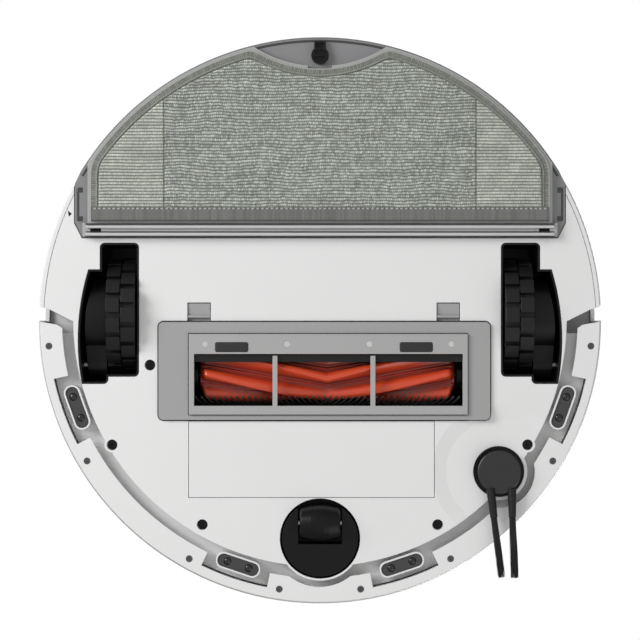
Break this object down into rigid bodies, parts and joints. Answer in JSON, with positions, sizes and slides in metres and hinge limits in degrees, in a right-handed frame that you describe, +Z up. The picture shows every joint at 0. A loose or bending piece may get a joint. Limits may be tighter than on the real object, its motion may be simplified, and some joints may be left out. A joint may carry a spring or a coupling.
{
  "type": "robot vacuum",
  "caption": "Round robot vacuum with sprung bumper, drive wheels, caster, main and side brushes, laser turret and a slide-out tank with mop cloth.",
  "frame": {"origin": "on the floor under the middle of the round body", "axes": "+Z up, +Y towards the water tank, the bumper faces -Y, +X towards the robot's left"},
  "size_m": [0.35, 0.3526, 0.0965],
  "materials": {
    "white_shell": "satin white moulded plastic",
    "grey_plastic": "grey moulded plastic",
    "dark_plastic": "fine-textured black plastic",
    "black_gloss": "glossy black plastic",
    "screw_steel": "bright screws",
    "tyre_rubber": "black moulded rubber",
    "fin_rubber": "orange-red translucent rubber",
    "soft_rubber": "black soft rubber",
    "smoke_plastic": "smoky clear plastic",
    "mop_fabric": "looped microfibre",
    "mop_band": "woven band",
    "filter_paper": "pleated filter",
    "board": "circuit board",
    "battery_wrap": "shrink-wrapped cells",
    "motor_metal": "plain metal can",
    "axle_steel": "ground steel"
  },
  "bodies": {
    "chassis": {"base_plate": "white_shell", "mid_frame": "grey_plastic", "rear_frame": "dark_plastic", "side_shell": "white_shell", "top_cover": "white_shell", "battery_cover": "white_shell", "battery_pack": "battery_wrap", "main_board": "board", "brush_housing": "dark_plastic", "brush_motor": "motor_metal", "suction_duct": "dark_plastic", "fan_housing": "dark_plastic", "side_brush_motor": "dark_plastic", "cliff_housings": "white_shell", "cliff_windows": "black_gloss", "caster_socket": "black_gloss", "left_wheel_well": "dark_plastic", "right_wheel_well": "dark_plastic", "wheel_pivot_pins": "axle_steel", "brush_end_caps": "dark_plastic", "base_screws": "screw_steel", "lidar_base": "dark_plastic", "turret_cap": "white_shell"},
    "bumper": {"bumper_shell": "white_shell", "bumper_lip": "white_shell", "bumper_window": "black_gloss", "bumper_screws": "screw_steel"},
    "left_arm": {"left_arm": "dark_plastic"},
    "left_wheel": {"left_tyre": "tyre_rubber", "left_hub": "dark_plastic"},
    "right_arm": {"right_arm": "dark_plastic"},
    "right_wheel": {"right_tyre": "tyre_rubber", "right_hub": "dark_plastic"},
    "caster": {"caster_fork": "black_gloss", "caster_axle": "axle_steel"},
    "caster_wheel": {"caster_wheel": "black_gloss"},
    "side_brush": {"side_brush_hub": "black_gloss", "side_brush_sleeves": "soft_rubber", "side_brush_bristles": "soft_rubber"},
    "main_brush": {"brush_core": "dark_plastic", "brush_fins": "fin_rubber"},
    "brush_cover": {"cover_plate": "grey_plastic", "guard_frame": "grey_plastic", "wiper_blade": "soft_rubber", "guard_screws": "screw_steel"},
    "cover_latch_left": {"cover_latch_left": "grey_plastic"},
    "cover_latch_right": {"cover_latch_right": "grey_plastic"},
    "tank": {"tank_shell": "smoke_plastic", "tank_lid": "smoke_plastic", "mop_plate": "smoke_plastic", "mop_cloth": "mop_fabric", "cloth_strip": "mop_band", "mop_clips": "dark_plastic", "dust_bin": "smoke_plastic", "dust_filter": "filter_paper"},
    "tank_latch": {"tank_latch": "dark_plastic"},
    "lidar_rotor": {"lidar_rotor": "dark_plastic"},
    "power_button": {"power_button": "grey_plastic"},
    "home_button": {"home_button": "grey_plastic"},
    "fan_impeller": {"fan_impeller": "grey_plastic"}
  },
  "joints": [
    {"name": "bumper_push", "type": "slide", "parent": "chassis", "child": "bumper", "axis": [0, 1, 0], "range_m": [0, 0.0035], "stiffness_N_per_m": 400, "springref_m": -0.002},
    {"name": "left_arm_swing", "type": "hinge", "parent": "chassis", "child": "left_arm", "pos_m": [0.121, -0.0279, 0.03], "axis": [-1, 0, 0], "range_deg": [0, 24], "stiffness_Nm_per_rad": 0.15, "springref_deg": 40.11},
    {"name": "left_wheel_spin", "type": "hinge", "parent": "left_arm", "child": "left_wheel", "pos_m": [0.121, 0.0031, 0.035], "axis": [1, 0, 0], "continuous": true},
    {"name": "right_arm_swing", "type": "hinge", "parent": "chassis", "child": "right_arm", "pos_m": [-0.121, -0.0279, 0.03], "axis": [-1, 0, 0], "range_deg": [0, 24], "stiffness_Nm_per_rad": 0.15, "springref_deg": 40.11},
    {"name": "right_wheel_spin", "type": "hinge", "parent": "right_arm", "child": "right_wheel", "pos_m": [-0.121, 0.0031, 0.035], "axis": [1, 0, 0], "continuous": true},
    {"name": "caster_swivel", "type": "hinge", "parent": "chassis", "child": "caster", "pos_m": [0, -0.1329, 0.03], "axis": [0, 0, 1], "continuous": true},
    {"name": "caster_roll", "type": "hinge", "parent": "caster", "child": "caster_wheel", "pos_m": [0, -0.1235, 0.0115], "axis": [1, 0, 0], "continuous": true},
    {"name": "side_brush_spin", "type": "hinge", "parent": "chassis", "child": "side_brush", "pos_m": [-0.10876, -0.09223, 0.01], "axis": [0, 0, 1], "continuous": true},
    {"name": "main_brush_spin", "type": "hinge", "parent": "chassis", "child": "main_brush", "pos_m": [0, -0.0335, 0.026], "axis": [1, 0, 0], "continuous": true},
    {"name": "brush_cover_lift", "type": "slide", "parent": "chassis", "child": "brush_cover", "axis": [0, 0, -1], "range_m": [0, 0.03]},
    {"name": "cover_latch_left_press", "type": "hinge", "parent": "brush_cover", "child": "cover_latch_left", "pos_m": [0.0735, -0.004, 0.01115], "axis": [1, 0, 0], "range_deg": [0, 6], "stiffness_Nm_per_rad": 0.02, "springref_deg": -11.46},
    {"name": "cover_latch_right_press", "type": "hinge", "parent": "brush_cover", "child": "cover_latch_right", "pos_m": [-0.078, -0.004, 0.01115], "axis": [1, 0, 0], "range_deg": [0, 6], "stiffness_Nm_per_rad": 0.02, "springref_deg": -11.46},
    {"name": "tank_slide", "type": "slide", "parent": "chassis", "child": "tank", "axis": [0, 1, 0], "range_m": [0, 0.13]},
    {"name": "tank_latch_press", "type": "slide", "parent": "tank", "child": "tank_latch", "axis": [0, -1, 0], "range_m": [0, 0.0015], "stiffness_N_per_m": 300, "springref_m": -0.001},
    {"name": "lidar_spin", "type": "hinge", "parent": "chassis", "child": "lidar_rotor", "pos_m": [0, 0.005, 0.08], "axis": [0, 0, 1], "continuous": true},
    {"name": "power_button_press", "type": "slide", "parent": "chassis", "child": "power_button", "axis": [0, 0, -1], "range_m": [0, 0.0008], "stiffness_N_per_m": 500, "springref_m": -0.001},
    {"name": "home_button_press", "type": "slide", "parent": "chassis", "child": "home_button", "axis": [0, 0, -1], "range_m": [0, 0.0008], "stiffness_N_per_m": 500, "springref_m": -0.001},
    {"name": "fan_spin", "type": "hinge", "parent": "chassis", "child": "fan_impeller", "pos_m": [-0.072, 0.024, 0.03], "axis": [0, 0, 1], "continuous": true}
  ]
}
